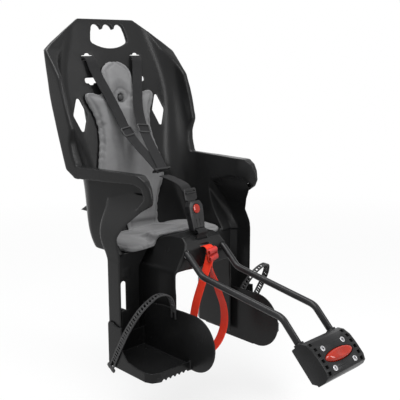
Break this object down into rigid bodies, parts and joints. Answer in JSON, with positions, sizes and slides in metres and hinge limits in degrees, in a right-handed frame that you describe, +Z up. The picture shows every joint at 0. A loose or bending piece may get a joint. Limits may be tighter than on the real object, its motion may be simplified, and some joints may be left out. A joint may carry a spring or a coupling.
{
  "type": "child bike seat",
  "caption": "Rear child seat for a bicycle: moulded shell with armrests, footrests, harness and pad, carried by a bent steel bar in a seat tube clamp.",
  "frame": {"origin": "middle of the clamp bore that grips the seat tube of the bicycle", "axes": "+Z up, front of the seat towards -Y, the child's left towards +X"},
  "size_m": [0.4464, 0.7707, 0.7939],
  "materials": {
    "shell_plastic": "satin moulded plastic, fine grain",
    "pad_foam": "soft grey moulded pad",
    "black_steel": "black powder coat, semi-gloss",
    "clamp_plastic": "glass-filled black plastic",
    "steel": "zinc-plated",
    "red_plastic": "glossy red",
    "webbing": "woven dark grey webbing",
    "red_webbing": "woven red webbing",
    "buckle_plastic": "smooth black plastic",
    "strap_plastic": "flexible dark plastic"
  },
  "bodies": {
    "seat": {"seat_shell": "shell_plastic", "seat_pad": "pad_foam", "pad_button": "buckle_plastic", "carrier_bar": "black_steel", "bar_plate": "black_steel", "bar_plate_bolts": "steel", "clamp_body": "clamp_plastic", "clamp_jaw": "clamp_plastic", "clamp_bolts": "steel", "clamp_nuts": "steel", "release_spring": "steel", "shoulder_strap_left": "webbing", "shoulder_strap_right": "webbing", "strap_slider_left": "buckle_plastic", "strap_slider_right": "buckle_plastic", "strap_ring": "buckle_plastic", "buckle_strap": "webbing", "buckle_tongue": "buckle_plastic", "buckle_body": "buckle_plastic", "buckle_spring": "steel", "crotch_strap": "webbing", "safety_strap": "red_webbing", "safety_slider": "red_plastic", "strap_anchors": "buckle_plastic"},
    "footrest_left": {"footrest_left": "shell_plastic", "footrest_knob_left": "clamp_plastic", "ladder_strap_left": "strap_plastic"},
    "footrest_right": {"footrest_right": "shell_plastic", "footrest_knob_right": "clamp_plastic", "ladder_strap_right": "strap_plastic"},
    "release": {"release_button": "red_plastic", "release_latch": "steel"},
    "buckle_release": {"buckle_button": "red_plastic"}
  },
  "joints": [
    {"name": "footrest_left_height", "type": "slide", "parent": "seat", "child": "footrest_left", "axis": [0, 0, 1], "range_m": [-0.06, 0]},
    {"name": "footrest_right_height", "type": "slide", "parent": "seat", "child": "footrest_right", "axis": [0, 0, 1], "range_m": [-0.06, 0]},
    {"name": "release_press", "type": "slide", "parent": "seat", "child": "release", "axis": [0, 0.7071, -0.7071], "range_m": [0, 0.004], "stiffness_N_per_m": 1500, "deforming": ["release_spring"]},
    {"name": "buckle_press", "type": "slide", "parent": "seat", "child": "buckle_release", "axis": [0, 0.9744, -0.225], "range_m": [0, 0.003], "stiffness_N_per_m": 1200, "deforming": ["buckle_spring"]}
  ]
}
